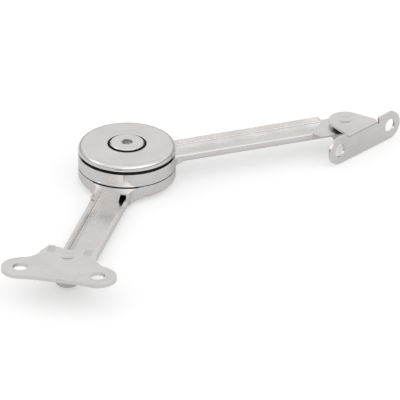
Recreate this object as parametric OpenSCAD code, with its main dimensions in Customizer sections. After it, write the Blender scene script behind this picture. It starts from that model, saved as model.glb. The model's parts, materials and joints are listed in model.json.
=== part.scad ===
// Friction stay hinge: a screw plate, two channel arms clamped together by a round brake, and an angle bracket.
// Millimetres. Origin: middle of the screw plate's two holes, on its flat upper face. +X along the two holes,
// +Y towards the brake, +Z up along every pivot.

/* [Sheet metal] */
// thickness of the two pressed arms
arm_t = 1.2; // [1.0:0.1:1.4]
// thickness of the screw plate
plate_t = 1.4; // [1.2:0.1:1.6]
// thickness of the angle bracket
bracket_t = 1.0; // [0.9:0.1:1.3]

/* [Brake] */
// outer radius of the round brake housing
brake_r = 18; // [17.6:0.2:18.4]
// height of the upper cover's face
cover_top = 2.7; // [2.5:0.1:2.9]
// lower edge of the cover's rim
cover_low = 0.2; // [0.1:0.1:0.3]
// upper edge of the long arm's ring
ring_top = -1.1; // [-1.2:0.1:-0.9]
// lower edge of the long arm's ring
ring_low = -6.1; // [-6.3:0.1:-6.0]
// upper edge of the short arm's pan
pan_top = -6.45; // [-6.8:0.05:-6.4]
// underside of the short arm's pan
pan_low = -11.4; // [-11.6:0.1:-11.2]
// rounding of the cover's upper edge
cover_round = 2.0; // [1.6:0.1:2.1]
// rounding of the pan's lower edge
pan_round = 1.8; // [1.6:0.1:1.9]
// radius of the hole in the middle of the cover
cover_hole_r = 7.3; // [7.2:0.1:7.4]

/* [Arms] */
// distance between the pivots of one arm
arm_reach = 85.5; // [84:0.5:88]
// outside width of an arm
arm_w = 13.1; // [12.9:0.1:13.3]
// outer bend radius along the bottom of an arm
bend_r = 1.7; // [1.5:0.1:1.8]
// angle of the long arm, counted from +X
long_arm_angle = 33.9; // [30:0.1:40]
// height of the short arm's side walls
short_wall = 3.9; // [3.7:0.1:4.1]
// height of the long arm's side walls
long_wall = 2.7; // [2.5:0.1:2.9]
// underside of the long arm
long_low = -5.6; // [-5.7:0.1:-5.5]
// radius of the corner between pan and short arm
short_corner_r = 8; // [7:0.5:9]
// radius of the corner between ring and long arm
long_corner_r = 4; // [3.5:0.5:4.5]
// how far the pan's high flank runs along the short arm, from the brake's axis
flank_end = 28.2; // [27.5:0.1:29.0]
// depth of the slit where the high flank ends
slit_deep = 1.9; // [1.5:0.1:2.2]
// height of the lowered wall beside the window
dip_top = -8.3; // [-8.6:0.1:-8.0]
// distance of the short arm's end wall from the brake's axis
box_wall = 21.8; // [21.4:0.1:22.2]
// width of the window beside the end wall, along its lower edge
window_w = 2.9; // [2.6:0.1:3.1]
// sideways slope of the window's upright edge
window_lean = 0.9; // [0.6:0.1:1.2]
// height of the raised tongue at the short arm's outer end
tongue_top = -7.0; // [-7.2:0.1:-6.9]

/* [Screw plate] */
// distance between the two screw holes
plate_spacing = 29.2; // [28.8:0.2:29.6]
// radius of a screw hole
screw_r = 2.8; // [2.6:0.1:3.0]
// radius of an ear of the plate
ear_r = 7.0; // [6.8:0.1:7.2]
// distance from the screw line to the rivet
rivet_back = 12.2; // [12:0.1:12.5]
// distance from the rivet to the tips of the plate's two horns
rear_reach = 8.1; // [7.8:0.1:8.4]
// distance from the rivet to the hollow between the horns
scoop_back = 4.7; // [4.5:0.1:5.0]
// sideways place of each horn
horn_x = 6.9; // [6.7:0.1:7.1]
// radius of each horn's tip
horn_r = 1.7; // [1.6:0.1:1.8]
// depth of the pressed facet just past a horn's tip
facet_deep = 0.8; // [0.6:0.1:0.9]

/* [Angle bracket] */
// direction of the bracket's screw line, counted from +X
bracket_angle = 61.5; // [55:0.5:70]
// distance between the bracket's screw holes
bracket_spacing = 27.4; // [27:0.2:28]
// radius of a screw hole in the bracket
bracket_hole_r = 2.6; // [2.5:0.1:2.7]
// radius of the bracket's rounded ends
bracket_end_r = 5.3; // [5.2:0.1:5.4]
// radius of the round end of the bracket's pivot tab
tab_r = 6.15; // [6:0.05:6.3]
// half width of the tab at its bend
tab_half = 7.9; // [7.5:0.1:8.1]
// how far the screw holes sit to one side of the pivot
face_shift = 1.0; // [0.6:0.1:1.2]
// distance from the pivot to the bracket's screw face
face_reach = 9.2; // [9:0.1:9.4]
// height of the bracket's tab
tab_top = -2.2; // [-2.3:0.1:-2.1]
// depth of the screw line below the tab's face
screw_drop = 4.9; // [4.8:0.1:5.0]

/* [Pivots] */
// radius of a rivet's shank
shank_r = 2.5; // [2.4:0.1:2.6]
// radial running clearance on a shank
run = 0.05; // [0.03:0.01:0.08]
// radius of a rivet's flush head
head_r = 2.8; // [2.7:0.1:3.0]
// radius of the screw plate's pivot foot
plate_foot_r = 4.4; // [4.2:0.1:4.6]
// radius of the bracket's pivot foot
bracket_foot_r = 4.9; // [4.7:0.1:5.1]

/* [Adjuster] */
// radius of the adjusting nut's round face
nut_r = 6.3; // [6.2:0.1:6.4]
// how far the nut's face stands above the cover
nut_proud = 0.7; // [0.6:0.05:0.8]
// key size of the adjusting nut's socket
socket_af = 4; // [3.5:0.5:4.5]

/* [Hidden] */
$fn = 96;
e = 0.01;
gap = 0.1;
pivot_y = rivet_back;
brake_y = rivet_back + arm_reach;
pan_floor = pan_low + arm_t;
short_top = pan_low + short_wall;
long_floor = long_low + arm_t;
long_top = long_low + long_wall;
end_x = arm_reach * cos(long_arm_angle);
end_y = brake_y + arm_reach * sin(long_arm_angle);
plate_low = -plate_t;
tongue_low = tongue_top - arm_t;
cover_floor = cover_top - arm_t;
washer_top = cover_floor - 0.05;
washer_t = 0.7;
washer_low = washer_top - washer_t;
lining_t = 1.1;
lining_in = 6;
lining_out = 15;
disc_t = 1.2;
seal_out = brake_r - arm_t - 0.35;
seal_in = seal_out - 1.2;
bush_r = 4;
spring_in = 5.2;
spring_out = 10.5;
bolt_top = 0.5;
neck_r = 4.6;
tab_low = tab_top - bracket_t;
socket_r = socket_af / 2 / cos(30);
cone_deep = 0.8;
fold_t = 0.6;
dip_end = 30;
slit_w = 0.5;
dish_r = 10.5;
dish_deep = 0.36;
nut_edge = 0.35;
facet_w = 3;
facet_back = 4.6;
facet_long = 7.2;
bend_out = 1.8;
slot_w = 1;

// ---- placing -------------------------------------------------------------

module at_plate_pivot() {
  translate([0, pivot_y, 0]) children();
}

module at_brake() {
  translate([0, brake_y, 0]) children();
}

module at_bracket_pivot() {
  translate([end_x, end_y, 0]) children();
}

// ---- shared shapes -------------------------------------------------------

module round_bar(r, low, high) {
  translate([0, 0, low]) cylinder(r = r, h = high - low);
}

module round_ring(r_out, r_in, low, high) {
  difference() {
    round_bar(r_out, low, high);
    round_bar(r_in, low - 1, high + 1);
  }
}

// a channel lying along +X with its open side up
module channel(from_x, to_x, low, high) {
  inner_r = bend_r - arm_t;
  translate([from_x, 0, low])
    rotate([90, 0, 90])
      linear_extrude(to_x - from_x)
        difference() {
          union() {
            translate([-arm_w / 2, bend_r]) square([arm_w, high - low - bend_r]);
            translate([-arm_w / 2 + bend_r, 0]) square([arm_w - 2 * bend_r, bend_r + e]);
            translate([-arm_w / 2 + bend_r, bend_r]) circle(r = bend_r);
            translate([arm_w / 2 - bend_r, bend_r]) circle(r = bend_r);
          }
          translate([-arm_w / 2 + arm_t, bend_r]) square([arm_w - 2 * arm_t, high - low]);
          translate([-arm_w / 2 + bend_r, arm_t]) square([arm_w - 2 * bend_r, high - low]);
          translate([-arm_w / 2 + bend_r, bend_r]) circle(r = inner_r);
          translate([arm_w / 2 - bend_r, bend_r]) circle(r = inner_r);
        }
}

// one rounded corner between a round housing and an arm along +X
module corner_area(corner_r, inset) {
  centre_y = arm_w / 2 + corner_r;
  centre_x = sqrt(pow(brake_r + corner_r, 2) - pow(centre_y, 2));
  share = brake_r / (brake_r + corner_r);
  difference() {
    polygon([
      [0, 0],
      [centre_x, 0],
      [centre_x, centre_y],
      [centre_x * share, centre_y * share]
    ]);
    translate([centre_x, centre_y]) circle(r = corner_r + inset);
  }
}

module both_corners(corner_r, inset) {
  corner_area(corner_r, inset);
  mirror([0, 1]) corner_area(corner_r, inset);
}

// wall and floor of the rounded corners
module corner_walls(corner_r, low, high, floor_low, floor_high) {
  translate([0, 0, low])
    linear_extrude(high - low)
      difference() {
        both_corners(corner_r, 0);
        both_corners(corner_r, arm_t);
        circle(r = brake_r - arm_t / 2);
      }
  translate([0, 0, floor_low])
    linear_extrude(floor_high - floor_low)
      difference() {
        both_corners(corner_r, 0);
        circle(r = brake_r - arm_t - 2);
      }
}

// ---- screw plate and its pivot -------------------------------------------

module plate_outline() {
  half = plate_spacing / 2;
  waist_r = 6.8;
  waist_x = half + 2.8;
  waist_y = ear_r + waist_r;
  horn_y = rivet_back + rear_reach - horn_r;
  scoop_r = 9;
  difference() {
    union() {
      translate([-half, 0]) circle(r = ear_r);
      translate([half, 0]) circle(r = ear_r);
      translate([-horn_x, horn_y]) circle(r = horn_r);
      translate([horn_x, horn_y]) circle(r = horn_r);
      polygon([
        [-half, -ear_r + 0.1],
        [-half / 2, -ear_r + 0.8],
        [half / 2, -ear_r + 0.8],
        [half, -ear_r + 0.1],
        [half + 2, ear_r - 0.5],
        [waist_x, waist_y],
        [waist_x - waist_r, waist_y],
        [horn_x + horn_r * 0.95, horn_y + horn_r * 0.3],
        [horn_x, rivet_back + rear_reach],
        [-horn_x, rivet_back + rear_reach],
        [-horn_x - horn_r * 0.95, horn_y + horn_r * 0.3],
        [-waist_x + waist_r, waist_y],
        [-waist_x, waist_y],
        [-half - 2, ear_r - 0.5]
      ]);
    }
    translate([waist_x, waist_y]) circle(r = waist_r);
    translate([-waist_x, waist_y]) circle(r = waist_r);
    translate([0, rivet_back + scoop_back + scoop_r]) circle(r = scoop_r);
  }
}

// a sloping pressed facet on a horn, deepest at the horn's tip
module horn_facet() {
  horn_y = rivet_back + rear_reach - horn_r;
  translate([horn_x - facet_w / 2, horn_y - facet_back, 0])
    rotate([90, 0, 90])
      linear_extrude(facet_w)
        polygon([[0, gap], [0, 0], [facet_long, -facet_deep], [facet_long, gap]]);
}

module screw_plate() {
  color("silver")
    difference() {
      translate([0, 0, plate_low]) linear_extrude(plate_t) plate_outline();
      horn_facet();
      mirror([1, 0, 0]) horn_facet();
      translate([-plate_spacing / 2, 0, plate_low - 1]) cylinder(r = screw_r, h = plate_t + 2);
      translate([plate_spacing / 2, 0, plate_low - 1]) cylinder(r = screw_r, h = plate_t + 2);
      at_plate_pivot() round_bar(shank_r, plate_low - 1, 1);
      at_plate_pivot()
        translate([0, 0, -cone_deep]) cylinder(r1 = shank_r, r2 = head_r, h = cone_deep + e);
    }
}

module plate_rivet() {
  color("silver")
    at_plate_pivot()
      difference() {
        union() {
          round_bar(shank_r, pan_low + 0.9, 0);
          translate([0, 0, -cone_deep]) cylinder(r1 = shank_r, r2 = head_r, h = cone_deep);
        }
        // shallow dished head
        translate([0, 0, dish_r - dish_deep]) sphere(r = dish_r);
      }
}

module plate_spacer() {
  color("gray")
    at_plate_pivot() round_ring(bush_r, shank_r, tongue_top + gap, plate_low);
}

module plate_foot() {
  color("silver")
    at_plate_pivot()
      difference() {
        union() {
          round_bar(plate_foot_r - 0.5, pan_low + 0.2, tongue_low - gap);
          round_bar(plate_foot_r, pan_low + 0.7, tongue_low - gap);
        }
        round_bar(shank_r, pan_low + 0.9, 0);
      }
}

// ---- short arm with its half of the brake ---------------------------------

module pan_shell() {
  inner_r = pan_round - arm_t;
  rotate_extrude()
    difference() {
      union() {
        translate([0, pan_low]) square([brake_r - pan_round, pan_top - pan_low]);
        translate([0, pan_low + pan_round]) square([brake_r, pan_top - pan_low - pan_round]);
        translate([brake_r - pan_round, pan_low + pan_round]) circle(r = pan_round);
      }
      translate([-1, pan_floor]) square([brake_r - pan_round + 1, pan_top - pan_floor + 1]);
      translate([-1, pan_low + pan_round]) square([brake_r - arm_t + 1, pan_top - pan_low]);
      translate([brake_r - pan_round, pan_low + pan_round]) circle(r = inner_r);
      translate([-1, pan_low - 1]) square([shank_r + 1, arm_t + 3]);
      translate([-brake_r * 2, pan_low - 1]) square([brake_r * 2, pan_top - pan_low + 2]);
    }
}

// folded box that closes the arm's root: a shelf and an end wall with a window beside it
module root_box() {
  half_in = arm_w / 2 - arm_t;
  shelf_from = brake_r - 2;
  translate([shelf_from, -half_in - e, pan_top - fold_t])
    cube([box_wall - shelf_from, 2 * half_in + 2 * e, fold_t]);
  translate([box_wall - fold_t, 0, 0])
    rotate([90, 0, 90])
      linear_extrude(fold_t)
        polygon([
          [-half_in - e, pan_floor - e],
          [half_in - window_w, pan_floor - e],
          [half_in - window_w + window_lean, pan_top],
          [-half_in - e, pan_top]
        ]);
}

// cuts that shape the two side walls near the root
module flank_cuts() {
  // lowered wall beside the window
  translate([box_wall, arm_w / 2 - arm_t - e, dip_top])
    cube([dip_end - box_wall, arm_t + 1, pan_top - dip_top + 1]);
  // slit where the high flank ends
  translate([flank_end - slit_w, -arm_w / 2 - 1, pan_top - slit_deep])
    cube([slit_w, arm_t + 1 + e, slit_deep + 1]);
}

module short_arm() {
  wall_end = arm_reach - 11;
  color("silver")
    at_brake()
      rotate([0, 0, -90])
        difference() {
          union() {
            difference() {
              union() {
                pan_shell();
                corner_walls(short_corner_r, pan_low, pan_top, pan_low, pan_floor);
              }
              translate([brake_r - 4, -arm_w / 2 + arm_t, pan_floor])
                cube([20, arm_w - 2 * arm_t, 10]);
            }
            channel(brake_r - 3, flank_end, pan_low, pan_top);
            channel(flank_end - e, wall_end, pan_low, short_top);
            root_box();
            // riser and raised tongue
            translate([wall_end - arm_t, -arm_w / 2, pan_low + bend_r])
              cube([arm_t, arm_w, tongue_top - pan_low - bend_r]);
            translate([wall_end - arm_t, -arm_w / 2, tongue_low])
              cube([11 + arm_t, arm_w, arm_t]);
            translate([arm_reach, 0, 0]) round_bar(arm_w / 2, tongue_low, tongue_top);
          }
          flank_cuts();
          // clear of the brake's inner parts
          round_bar(brake_r - pan_round - e, pan_floor, 5);
          round_bar(brake_r - arm_t - 0.25, pan_low + pan_round, 5);
          translate([arm_reach, 0, 0]) round_bar(shank_r + run, tongue_low - 1, tongue_top + 1);
        }
}

module centre_bolt() {
  color("silver")
    at_brake() {
      round_bar(shank_r, pan_low - 0.3, bolt_top);
      round_bar(5, pan_low - 0.9, pan_low);
    }
}

module lower_lining() {
  color("dimgray")
    at_brake() round_ring(lining_out, lining_in, pan_floor, pan_floor + lining_t);
}

module seam_seal() {
  color("black")
    at_brake() round_ring(seal_out, seal_in, pan_floor + 1, long_low - 0.3);
}

module pressure_disc() {
  low = long_floor + lining_t + gap;
  color("gray")
    at_brake() round_ring(lining_out, shank_r, low, low + disc_t);
}

module cone_spring(low, high, thick, up) {
  rotate_extrude()
    polygon(up
      ? [[spring_in, high - thick], [spring_out, low], [spring_out, low + thick], [spring_in, high]]
      : [[spring_in, low], [spring_out, high - thick], [spring_out, high], [spring_in, low + thick]]);
}

module lower_disc_spring() {
  low = long_floor + lining_t + gap + disc_t;
  color("gray")
    at_brake() cone_spring(low, low + 1.45, 0.7, true);
}

module upper_disc_spring() {
  low = long_floor + lining_t + gap + disc_t + 1.45;
  color("gray")
    at_brake() cone_spring(low, washer_low, 0.7, false);
}

module thrust_washer() {
  color("gray")
    at_brake() round_ring(11, neck_r + 0.4, washer_low, washer_top);
}

module gap_seal() {
  color("black")
    at_brake() round_ring(seal_out, seal_in, long_floor + lining_t + 0.4, cover_floor - 0.8);
}

module cover_cup() {
  inner_r = cover_round - arm_t;
  color("silver")
    at_brake()
      rotate_extrude()
        difference() {
          union() {
            translate([0, cover_low]) square([brake_r - cover_round, cover_top - cover_low]);
            translate([0, cover_low]) square([brake_r, cover_top - cover_low - cover_round]);
            translate([brake_r - cover_round, cover_top - cover_round]) circle(r = cover_round);
          }
          translate([-1, cover_low - brake_r]) square([brake_r + 2, brake_r]);
          translate([-1, cover_low - 1]) square([brake_r - cover_round + 1, cover_floor - cover_low + 1]);
          translate([-1, cover_low - 1]) square([brake_r - arm_t + 1, cover_top - cover_round - cover_low + 1]);
          translate([brake_r - cover_round, cover_top - cover_round]) circle(r = inner_r);
          translate([-1, cover_low - 1]) square([cover_hole_r + 1, cover_top - cover_low + 2]);
          translate([-brake_r * 2, cover_low - 1]) square([brake_r * 2, cover_top - cover_low + 2]);
        }
}

// ---- adjuster --------------------------------------------------------------

module adjusting_nut() {
  color("silver")
    at_brake()
      difference() {
        union() {
          round_bar(nut_r, cover_floor, cover_top + nut_proud - nut_edge);
          translate([0, 0, cover_top + nut_proud - nut_edge])
            cylinder(r1 = nut_r, r2 = nut_r - nut_edge, h = nut_edge);
          round_bar(neck_r, washer_low - 1.6, cover_floor + e);
        }
        round_bar(shank_r + run, washer_low - 3, bolt_top + 0.1);
        translate([0, 0, bolt_top]) cylinder(r = socket_r, h = 4, $fn = 6);
      }
}

// ---- long arm with its half of the brake -----------------------------------

module long_arm() {
  rear_end = arm_reach - 8.6;
  front_end = arm_reach - 15;
  color("silver")
    at_brake()
      rotate([0, 0, long_arm_angle])
        difference() {
          union() {
            difference() {
              union() {
                round_ring(brake_r, brake_r - arm_t, ring_low, ring_top);
                round_bar(brake_r - arm_t / 2, long_low, long_floor);
                corner_walls(long_corner_r, long_low, long_top, long_low, long_floor);
              }
            }
            difference() {
              channel(brake_r - 3, arm_reach, long_low, long_top);
              // rear wall ends on a slope
              translate([0, arm_w / 2 - arm_t - 0.5, 0])
                rotate([90, 0, 0])
                  mirror([0, 0, 1])
                    linear_extrude(arm_t + 2)
                      polygon([
                        [rear_end, long_top + 1],
                        [rear_end, long_top],
                        [rear_end + 1.6, long_floor],
                        [arm_reach + 9, long_floor],
                        [arm_reach + 9, long_top + 1]
                      ]);
              // front wall ends earlier, on a longer slope
              translate([0, -arm_w / 2 - 1.5, 0])
                rotate([90, 0, 0])
                  mirror([0, 0, 1])
                    linear_extrude(arm_t + 2)
                      polygon([
                        [front_end, long_top + 1],
                        [front_end, long_top],
                        [front_end + 3, long_floor],
                        [arm_reach + 9, long_floor],
                        [arm_reach + 9, long_top + 1]
                      ]);
            }
            translate([arm_reach, 0, 0]) round_bar(arm_w / 2, long_low, long_floor);
          }
          round_bar(brake_r - arm_t - 0.3, long_floor, 5);
          round_bar(bush_r, long_low - 1, long_floor + 1);
          translate([arm_reach, 0, 0]) round_bar(shank_r + run, long_low - 1, long_floor + 1);
        }
}

module upper_lining() {
  color("dimgray")
    at_brake() round_ring(lining_out, lining_in, long_floor, long_floor + lining_t);
}

module bearing_bush() {
  color("goldenrod")
    at_brake() round_ring(bush_r, shank_r + run, long_low - 2.2, long_floor + lining_t - 0.1);
}

module drag_disc() {
  low = pan_floor + lining_t + gap;
  color("gray")
    at_brake() round_ring(seal_in - 0.5, bush_r + 0.3, low, low + disc_t);
}

module wave_spring() {
  low = pan_floor + lining_t + gap + disc_t;
  color("gray")
    at_brake() cone_spring(low, long_low, 0.7, false);
}

// ---- angle bracket and its pivot -------------------------------------------

module bracket_place() {
  at_bracket_pivot()
    rotate([0, 0, bracket_angle])
      children();
}

// outline of the pivot tab: round end with straight sides widening towards the bend
module tab_outline() {
  line_y = -face_reach + bend_out;
  corner = norm([tab_half, line_y]);
  touch = atan2(line_y, tab_half) + acos(tab_r / corner);
  circle(r = tab_r);
  polygon([
    [tab_half, line_y],
    [tab_r * cos(touch), tab_r * sin(touch)],
    [-tab_r * cos(touch), tab_r * sin(touch)],
    [-tab_half, line_y]
  ]);
}

// outline of the upright face, seen along its normal, with the screw line at zero height
module face_outline() {
  half = bracket_spacing / 2;
  difference() {
    translate([face_shift, 0]) {
      translate([-half, 0]) circle(r = bracket_end_r);
      translate([half, 0]) circle(r = bracket_end_r);
      translate([-half, -bracket_end_r]) square([2 * half, 2 * bracket_end_r]);
    }
    // room for the bend and its two relief slots
    translate([-tab_half - slot_w, screw_drop - bend_out])
      square([2 * tab_half + 2 * slot_w, bracket_end_r + 2]);
    translate([face_shift - half, 0]) circle(r = bracket_hole_r);
    translate([face_shift + half, 0]) circle(r = bracket_hole_r);
  }
}

// local frame: X along the screw line, -Y towards the screw face
module end_bracket() {
  face_y = -face_reach;
  screw_z = tab_top - screw_drop;
  color("silver")
    bracket_place()
      difference() {
        union() {
          translate([0, 0, tab_low]) linear_extrude(bracket_t) tab_outline();
          // rounded bend between tab and face
          translate([-tab_half, face_y + bend_out, tab_top - bend_out])
            rotate([90, 0, 90])
              linear_extrude(2 * tab_half)
                difference() {
                  circle(r = bend_out);
                  circle(r = bend_out - bracket_t);
                  translate([0, -bend_out * 2]) square([bend_out * 2, bend_out * 4]);
                  translate([-bend_out * 2, -bend_out * 2]) square([bend_out * 4, bend_out * 2]);
                }
          // upright face with two rounded ends
          translate([0, face_y + bracket_t, screw_z])
            rotate([90, 0, 0])
              linear_extrude(bracket_t)
                face_outline();
        }
        round_bar(shank_r, tab_low - 1, tab_top + 1);
        translate([0, 0, tab_top - cone_deep])
          cylinder(r1 = shank_r, r2 = head_r, h = cone_deep + e);
      }
}

module bracket_rivet() {
  color("silver")
    bracket_place()
      difference() {
        union() {
          round_bar(shank_r, long_low - 3, tab_top);
          translate([0, 0, tab_top - cone_deep]) cylinder(r1 = shank_r, r2 = head_r, h = cone_deep);
        }
        translate([0, 0, tab_top + dish_r - dish_deep]) sphere(r = dish_r);
      }
}

module bracket_spacer() {
  color("gray")
    bracket_place() round_ring(bush_r + 0.5, shank_r, long_floor + gap, tab_low);
}

module bracket_foot() {
  color("silver")
    bracket_place()
      difference() {
        union() {
          round_bar(bracket_foot_r - 0.6, long_low - 4.4, long_low - gap);
          round_bar(bracket_foot_r, long_low - 3.8, long_low - gap);
        }
        round_bar(shank_r, long_low - 3, 0);
      }
}

screw_plate();
plate_rivet();
plate_spacer();
plate_foot();
short_arm();
centre_bolt();
lower_lining();
seam_seal();
pressure_disc();
lower_disc_spring();
upper_disc_spring();
thrust_washer();
gap_seal();
cover_cup();
adjusting_nut();
long_arm();
upper_lining();
bearing_bush();
drag_disc();
wave_spring();
end_bracket();
bracket_rivet();
bracket_spacer();
bracket_foot();
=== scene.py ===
import json
import math

import bpy
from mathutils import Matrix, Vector


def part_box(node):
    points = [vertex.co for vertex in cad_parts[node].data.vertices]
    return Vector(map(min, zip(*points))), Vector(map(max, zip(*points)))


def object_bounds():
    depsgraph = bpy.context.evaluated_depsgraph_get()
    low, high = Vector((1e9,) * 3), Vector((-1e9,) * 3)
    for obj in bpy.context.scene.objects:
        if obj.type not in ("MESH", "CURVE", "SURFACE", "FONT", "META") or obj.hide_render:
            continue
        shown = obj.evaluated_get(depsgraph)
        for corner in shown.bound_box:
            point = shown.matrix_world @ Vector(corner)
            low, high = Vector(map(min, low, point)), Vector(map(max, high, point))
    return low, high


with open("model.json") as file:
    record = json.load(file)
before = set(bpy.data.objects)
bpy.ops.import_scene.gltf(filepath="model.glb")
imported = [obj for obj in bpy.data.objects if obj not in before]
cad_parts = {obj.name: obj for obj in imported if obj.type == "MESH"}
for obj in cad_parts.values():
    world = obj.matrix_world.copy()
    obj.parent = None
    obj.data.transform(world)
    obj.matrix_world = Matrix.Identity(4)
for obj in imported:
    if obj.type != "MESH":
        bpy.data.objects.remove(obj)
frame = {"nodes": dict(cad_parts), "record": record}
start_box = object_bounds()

MM = 0.001
nodes = frame["nodes"]
scene = bpy.context.scene


# ---- measures taken from the solid parts ---------------------------------

cover_low, cover_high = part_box("cover_cup")
brake_radius = (cover_high.x - cover_low.x) / 2
brake_centre = (cover_low + cover_high) / 2
brake_centre.z = cover_high.z
table_height = start_box[0].z


# ---- camera ----------------------------------------------------------------

LOOK_ROUND = math.radians(14.5)
LOOK_DOWN = math.radians(28)
LENS = 1600
SENSOR_WIDTH = 36
# where the camera aims and how much it takes in, counted in brake radii
AIM_RIGHT = 1.496
AIM_DOWN = 1.160
TAKEN_IN = 8.197
# nearest and farthest distance drawn, as shares of the camera's own distance
NEAREST = 0.1
FARTHEST = 20

back = Vector((
    math.sin(LOOK_ROUND) * math.cos(LOOK_DOWN),
    -math.cos(LOOK_ROUND) * math.cos(LOOK_DOWN),
    math.sin(LOOK_DOWN),
))
camera_data = bpy.data.cameras.new("camera")
camera = bpy.data.objects.new("camera", camera_data)
scene.collection.objects.link(camera)
scene.camera = camera
camera_data.lens = LENS
camera_data.sensor_width = SENSOR_WIDTH
camera_data.dof.use_dof = False
camera.rotation_mode = "QUATERNION"
camera.rotation_quaternion = (-back).to_track_quat("-Z", "Y")
side = camera.rotation_quaternion @ Vector((1, 0, 0))
upward = camera.rotation_quaternion @ Vector((0, 1, 0))
aim = brake_centre + side * brake_radius * AIM_RIGHT - upward * brake_radius * AIM_DOWN
distance = brake_radius * TAKEN_IN * LENS / SENSOR_WIDTH
camera.location = aim + back * distance
camera_data.clip_start = distance * NEAREST
camera_data.clip_end = distance * FARTHEST


# ---- node building helpers ------------------------------------------------

def add(tree, kind, **values):
    """A new shader node with its plain settings."""
    made = tree.nodes.new(kind)
    for key, value in values.items():
        setattr(made, key, value)
    return made


def join(tree, source, target):
    tree.links.new(source, target)


def feed(tree, value, socket):
    """Put a plain number into a socket, or link another socket to it."""
    if isinstance(value, (int, float)):
        socket.default_value = value
    else:
        join(tree, value, socket)


def arithmetic(tree, operation, first, second=None):
    made = add(tree, "ShaderNodeMath", operation=operation)
    feed(tree, first, made.inputs[0])
    if second is not None:
        feed(tree, second, made.inputs[1])
    return made.outputs[0]


def plus(tree, first, second):
    return arithmetic(tree, "ADD", first, second)


def times(tree, first, second):
    return arithmetic(tree, "MULTIPLY", first, second)


def noise(tree, vector, scale, detail, rough):
    made = add(tree, "ShaderNodeTexNoise")
    made.inputs["Detail"].default_value = detail
    made.inputs["Roughness"].default_value = rough
    feed(tree, scale, made.inputs["Scale"])
    join(tree, vector, made.inputs["Vector"])
    return made.outputs["Fac"]


def ramp(tree, value, low, high, to_low=0.0, to_high=1.0):
    """Value low gives to_low, value high gives to_high, even steps between, flat outside."""
    made = add(tree, "ShaderNodeMapRange")
    join(tree, value, made.inputs["Value"])
    made.inputs["From Min"].default_value = low
    made.inputs["From Max"].default_value = high
    made.inputs["To Min"].default_value = to_low
    made.inputs["To Max"].default_value = to_high
    return made.outputs["Result"]


def separate(tree, vector):
    parts = add(tree, "ShaderNodeSeparateXYZ")
    join(tree, vector, parts.inputs["Vector"])
    return parts.outputs


def blend_colours(tree, amount, first, second):
    made = add(tree, "ShaderNodeMix", data_type="RGBA")
    join(tree, amount, made.inputs["Factor"])
    made.inputs["A"].default_value = (*first, 1)
    made.inputs["B"].default_value = (*second, 1)
    return made.outputs["Result"]


def grey(value):
    return (value, value, value)


# ---- shared effects, built once ---------------------------------------------

SMEAR_EDGES = (0.38, 0.68)
SCRATCH_EDGES = (0.60, 0.72)
SCRATCH_STRETCH = (1.0, 0.06, 1.0)
SCRATCH_TURN = 0.35
SPECK_SCALE = 1500.0
SPECK_EDGES = (0.66, 0.74)
BROAD_RING_SCALE = 260.0


def effect(name, inputs, outputs):
    """An empty shader group with named inputs and outputs."""
    group = bpy.data.node_groups.new(name, "ShaderNodeTree")
    for label, value in inputs:
        socket = group.interface.new_socket(
            label, in_out="INPUT", socket_type="NodeSocketFloat")
        socket.default_value = value
    for label in outputs:
        group.interface.new_socket(label, in_out="OUTPUT", socket_type="NodeSocketFloat")
    entry = group.nodes.new("NodeGroupInput")
    leave = group.nodes.new("NodeGroupOutput")
    return group, entry.outputs, leave.inputs


def make_plating_wear():
    """Smears, waviness, fine scratches and specks of a metal or moulded skin."""
    tree, given, out = effect(
        "plating wear",
        [("Smear Scale", 90.0), ("Wave Scale", 160.0), ("Scratch Scale", 2600.0)],
        ["Smear", "Wave", "Scratch", "Speck"],
    )
    place = add(tree, "ShaderNodeTexCoord").outputs["Object"]
    smear = noise(tree, place, given["Smear Scale"], detail=5.0, rough=0.6)
    join(tree, ramp(tree, smear, *SMEAR_EDGES), out["Smear"])
    join(tree, noise(tree, place, given["Wave Scale"], detail=1.5, rough=0.4), out["Wave"])
    stretch = add(tree, "ShaderNodeMapping")
    stretch.inputs["Scale"].default_value = SCRATCH_STRETCH
    stretch.inputs["Rotation"].default_value = (0.0, 0.0, SCRATCH_TURN)
    join(tree, place, stretch.inputs["Vector"])
    scratch = noise(
        tree, stretch.outputs["Vector"], given["Scratch Scale"], detail=2.0, rough=0.7)
    join(tree, ramp(tree, scratch, *SCRATCH_EDGES), out["Scratch"])
    speck = noise(tree, place, SPECK_SCALE, detail=2.0, rough=0.5)
    join(tree, ramp(tree, speck, *SPECK_EDGES), out["Speck"])
    return tree


def make_turned_grain():
    """Rings round one upright axis, as left by turning, and the distance from that axis."""
    tree, given, out = effect(
        "turned grain",
        [("Centre X", 0.0), ("Centre Y", 0.0), ("Ring Scale", 900.0)],
        ["Rings", "Broad Rings", "Distance"],
    )
    place = separate(tree, add(tree, "ShaderNodeTexCoord").outputs["Object"])
    across = arithmetic(tree, "SUBTRACT", place["X"], given["Centre X"])
    along = arithmetic(tree, "SUBTRACT", place["Y"], given["Centre Y"])
    squared = plus(tree, times(tree, across, across), times(tree, along, along))
    far = arithmetic(tree, "SQRT", squared)
    line = add(tree, "ShaderNodeCombineXYZ")
    join(tree, far, line.inputs["X"])
    rings = noise(tree, line.outputs["Vector"], given["Ring Scale"], detail=3.0, rough=0.7)
    broad = noise(tree, line.outputs["Vector"], BROAD_RING_SCALE, detail=1.0, rough=0.5)
    join(tree, rings, out["Rings"])
    join(tree, broad, out["Broad Rings"])
    join(tree, far, out["Distance"])
    return tree


PLATING_WEAR = make_plating_wear()
TURNED_GRAIN = make_turned_grain()


def use(tree, group, **values):
    """Place a shared effect in a material with its own values."""
    made = add(tree, "ShaderNodeGroup", node_tree=group)
    for key, value in values.items():
        made.inputs[key.replace("_", " ")].default_value = value
    return made.outputs


# ---- materials -----------------------------------------------------------

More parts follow.
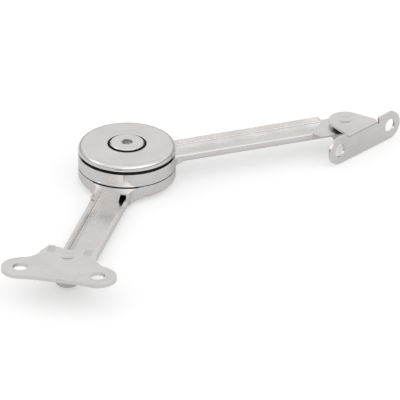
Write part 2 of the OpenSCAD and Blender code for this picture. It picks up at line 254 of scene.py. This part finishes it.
# how much each kind of mark dulls a skin, and how high or deep it lies
SMEAR_DULLS = 0.07
STEEL_SMEAR_DULLS = 0.2
COMPOUND_SMEAR_DULLS = 0.12
SCRATCH_DULLS = 0.10
RING_DULLS = 0.05
WAVE_HEIGHT = 0.02
SCRATCH_DEPTH = 0.0012
RING_HEIGHT = 0.004
BROAD_RING_HEIGHT = 0.02
STEEL_METALLIC = 0.9
# the satin skin of an arm begins and is complete this far outside the round housing
SATIN_BEGINS = 0.3 * MM
SATIN_COMPLETE = 2.5 * MM


def new_material(name):
    material = bpy.data.materials.new(name)
    material.use_nodes = True
    shader = material.node_tree.nodes["Principled BSDF"]
    return material, material.node_tree, shader


def add_bump(tree, shader, height, strength, depth):
    bump = add(tree, "ShaderNodeBump")
    bump.inputs["Strength"].default_value = strength
    bump.inputs["Distance"].default_value = depth
    join(tree, height, bump.inputs["Height"])
    join(tree, bump.outputs["Normal"], shader.inputs["Normal"])


def bright_metal(name, colour, worn_colour, roughness, rings=None, satin=None):
    """Bright plated metal: clear reflections, slightly wavy, with faint smears and scratches.
    rings adds turning marks round that axis; satin makes it duller outside the housing."""
    material, tree, shader = new_material(name)
    shader.inputs["Metallic"].default_value = 1.0
    wear = use(tree, PLATING_WEAR)
    skin = blend_colours(tree, wear["Smear"], colour, worn_colour)
    join(tree, skin, shader.inputs["Base Color"])
    smeared = times(tree, wear["Smear"], SMEAR_DULLS)
    scratched = times(tree, wear["Scratch"], SCRATCH_DULLS)
    rough = plus(tree, plus(tree, smeared, scratched), roughness)
    waves = times(tree, wear["Wave"], WAVE_HEIGHT)
    grooves = times(tree, wear["Scratch"], SCRATCH_DEPTH)
    height = arithmetic(tree, "SUBTRACT", waves, grooves)
    if rings is not None:
        grain = use(tree, TURNED_GRAIN, Centre_X=rings.x, Centre_Y=rings.y)
        height = plus(tree, height, times(tree, grain["Rings"], RING_HEIGHT))
        height = plus(tree, height, times(tree, grain["Broad Rings"], BROAD_RING_HEIGHT))
        rough = plus(tree, rough, times(tree, grain["Rings"], RING_DULLS))
    if satin is not None:
        grain = use(tree, TURNED_GRAIN, Centre_X=brake_centre.x, Centre_Y=brake_centre.y)
        begins = brake_radius + SATIN_BEGINS
        complete = brake_radius + SATIN_COMPLETE
        rough = plus(tree, rough, ramp(tree, grain["Distance"], begins, complete, 0.0, satin))
    join(tree, rough, shader.inputs["Roughness"])
    add_bump(tree, shader, height, strength=0.35, depth=2 * MM)
    return material


def plain_steel(name, colour, dark, roughness):
    """Oiled inner steel with a dull, uneven skin."""
    material, tree, shader = new_material(name)
    shader.inputs["Metallic"].default_value = STEEL_METALLIC
    wear = use(tree, PLATING_WEAR, Smear_Scale=220.0)
    skin = blend_colours(tree, wear["Smear"], colour, dark)
    join(tree, skin, shader.inputs["Base Color"])
    rough = plus(tree, times(tree, wear["Smear"], STEEL_SMEAR_DULLS), roughness)
    join(tree, rough, shader.inputs["Roughness"])
    add_bump(tree, shader, wear["Scratch"], strength=0.3, depth=0.2 * MM)
    return material


def dull_compound(name, colour, fleck, roughness, smear_scale):
    """Matt pressed compound or rubber with small flecks."""
    material, tree, shader = new_material(name)
    wear = use(tree, PLATING_WEAR, Smear_Scale=smear_scale)
    skin = blend_colours(tree, wear["Speck"], colour, fleck)
    join(tree, skin, shader.inputs["Base Color"])
    rough = plus(tree, times(tree, wear["Smear"], COMPOUND_SMEAR_DULLS), roughness)
    join(tree, rough, shader.inputs["Roughness"])
    add_bump(tree, shader, wear["Wave"], strength=0.4, depth=0.2 * MM)
    return material


NICKEL = (0.815, 0.797, 0.785)
NICKEL_WORN = (0.755, 0.735, 0.722)
turned_plate = bright_metal(
    "turned nickel plate", NICKEL, NICKEL_WORN, roughness=0.12, rings=brake_centre)
arm_plate = bright_metal(
    "arm nickel plate", NICKEL, NICKEL_WORN, roughness=0.10, satin=0.135)
FINISHES = {
    "bright_plate": bright_metal(
        "satin nickel plate", NICKEL, NICKEL_WORN, roughness=0.20),
    "rivet_steel": bright_metal(
        "rivet nickel", (0.80, 0.775, 0.755), (0.72, 0.69, 0.665), roughness=0.14),
    "nut_steel": turned_plate,
    "inner_steel": plain_steel(
        "oiled inner steel", (0.42, 0.41, 0.40), (0.24, 0.23, 0.22), roughness=0.35),
    # partly a real dark finish, partly painted shade: the thrust washer and spacers are made
    # black so the gaps round the hub and under the bracket tab read dark
    "blackened_steel": plain_steel(
        "blackened steel", (0.030, 0.029, 0.028), (0.055, 0.052, 0.050), roughness=0.45),
    "friction_lining": dull_compound(
        "friction lining", (0.14, 0.11, 0.09), (0.34, 0.27, 0.18),
        roughness=0.75, smear_scale=300.0),
    "black_seal": dull_compound(
        "black seal", grey(0.012), grey(0.03), roughness=0.6, smear_scale=200.0),
    "bush_metal": bright_metal(
        "bush metal", (0.72, 0.54, 0.28), (0.60, 0.43, 0.20), roughness=0.25),
}
OWN_FINISH = {
    "cover_cup": turned_plate,
    "short_arm": arm_plate,
    "long_arm": arm_plate,
}
for entry in frame["record"]["subparts"]:
    piece = nodes[entry["node"]]
    piece.data.materials.clear()
    piece.data.materials.append(
        OWN_FINISH.get(entry["node"], FINISHES[entry["material_slot"]]))


# ---- softened edges -----------------------------------------------------------

EDGE_WIDTH = {
    "screw_plate": 0.22, "short_arm": 0.16, "long_arm": 0.16, "end_bracket": 0.20,
    "cover_cup": 0.12, "adjusting_nut": 0.12, "plate_foot": 0.25, "bracket_foot": 0.25,
    "centre_bolt": 0.25,
}
SHARPEST_LEFT = math.radians(40)
for name, width in EDGE_WIDTH.items():
    soften = nodes[name].modifiers.new("softened edges", "BEVEL")
    soften.width = width * MM
    soften.segments = 2
    soften.limit_method = "ANGLE"
    soften.angle_limit = SHARPEST_LEFT
    soften.use_clamp_overlap = True


# ---- floor, lights and surroundings ---------------------------------------------

FLOOR_REACH = 6.0
FLOOR_BELOW = 0.4 * MM
# the floor is paler and glows more to the eye than in the plating's reflections
FLOOR_MIRRORED = grey(0.65)
FLOOR_SEEN = grey(0.72)
GLOW_MIRRORED = 0.15
GLOW_SEEN = 0.40


def make_floor():
    """A plain pale sheet under the stay."""
    mesh = bpy.data.meshes.new("floor")
    corners = [
        (across * FLOOR_REACH, along * FLOOR_REACH, 0)
        for across, along in ((-1, -1), (1, -1), (1, 1), (-1, 1))
    ]
    mesh.from_pydata(corners, [], [(0, 1, 2, 3)])
    floor = bpy.data.objects.new("floor", mesh)
    scene.collection.objects.link(floor)
    floor.location = (0, 0, table_height - FLOOR_BELOW)
    material, tree, shader = new_material("pale floor")
    seen = add(tree, "ShaderNodeLightPath").outputs["Is Camera Ray"]
    join(tree, blend_colours(tree, seen, FLOOR_MIRRORED, FLOOR_SEEN),
         shader.inputs["Base Color"])
    shader.inputs["Roughness"].default_value = 1.0
    shader.inputs["Specular IOR Level"].default_value = 0.0
    shader.inputs["Emission Color"].default_value = (1, 1, 1, 1)
    join(tree, ramp(tree, seen, 0.0, 1.0, GLOW_MIRRORED, GLOW_SEEN),
         shader.inputs["Emission Strength"])
    mesh.materials.append(material)


def make_light(name, offset, size, power):
    """A soft rectangular lamp, placed from the middle of the stay and turned to it."""
    data = bpy.data.lights.new(name, "AREA")
    data.shape = "RECTANGLE"
    data.size, data.size_y = size
    data.energy = power
    lamp = bpy.data.objects.new(name, data)
    scene.collection.objects.link(lamp)
    lamp.location = (start_box[0] + start_box[1]) / 2 + Vector(offset)
    lamp.rotation_mode = "QUATERNION"
    lamp.rotation_quaternion = (-Vector(offset)).to_track_quat("-Z", "Y")


make_floor()
make_light("soft top", (0.05, -0.10, 0.80), size=(1.0, 0.8), power=0.35)
make_light("left window", (-0.75, -0.25, 0.45), size=(0.5, 0.6), power=0.35)


# colour of the tent by height: 0 at the horizon, 1 overhead
TENT_SHADES = (
    (0.0, (0.22, 0.215, 0.21)),
    (0.10, grey(0.28)),
    (0.24, grey(0.68)),
    (0.36, grey(0.80)),
    (0.60, grey(0.83)),
    (0.78, grey(0.80)),
    (1.0, grey(0.62)),
)
# the tent brightens towards the front between these two directions, up to this strength
FRONT_EDGES = (0.1, -0.7)
FRONT_STRENGTH = 1.12
# the bright patch at the front right: its edges sideways and in height, and its strength
PATCH_SIDE_EDGES = (0.6, 1.1)
PATCH_HEIGHT_EDGES = (0.30, 0.42)
PATCH_STRENGTH = 0.68


def make_surroundings():
    """A soft pale tent: dim near the horizon, even above it, a little dimmer overhead.
    It is a little brighter in front, with a bright patch at the front right."""
    world = bpy.data.worlds.new("studio")
    scene.world = world
    world.use_nodes = True
    tree = world.node_tree
    sky = tree.nodes["Background"]
    look = separate(tree, add(tree, "ShaderNodeTexCoord").outputs["Generated"])
    shades = add(tree, "ShaderNodeValToRGB")
    shades.color_ramp.interpolation = "B_SPLINE"
    stops = shades.color_ramp.elements
    for height, colour in TENT_SHADES:
        ends = {0.0: 0, 1.0: -1}
        stop = stops[ends[height]] if height in ends else stops.new(height)
        stop.color = (*colour, 1)
    join(tree, look["Z"], shades.inputs["Fac"])
    join(tree, shades.outputs["Color"], sky.inputs["Color"])
    front = ramp(tree, look["Y"], *FRONT_EDGES, 1.0, FRONT_STRENGTH)
    front_right = arithmetic(tree, "SUBTRACT", look["X"], look["Y"])
    patch = ramp(tree, front_right, *PATCH_SIDE_EDGES, 0.0, PATCH_STRENGTH)
    patch = times(tree, patch, ramp(tree, look["Z"], *PATCH_HEIGHT_EDGES))
    join(tree, plus(tree, front, patch), sky.inputs["Strength"])


make_surroundings()
scene.view_settings.view_transform = "Standard"
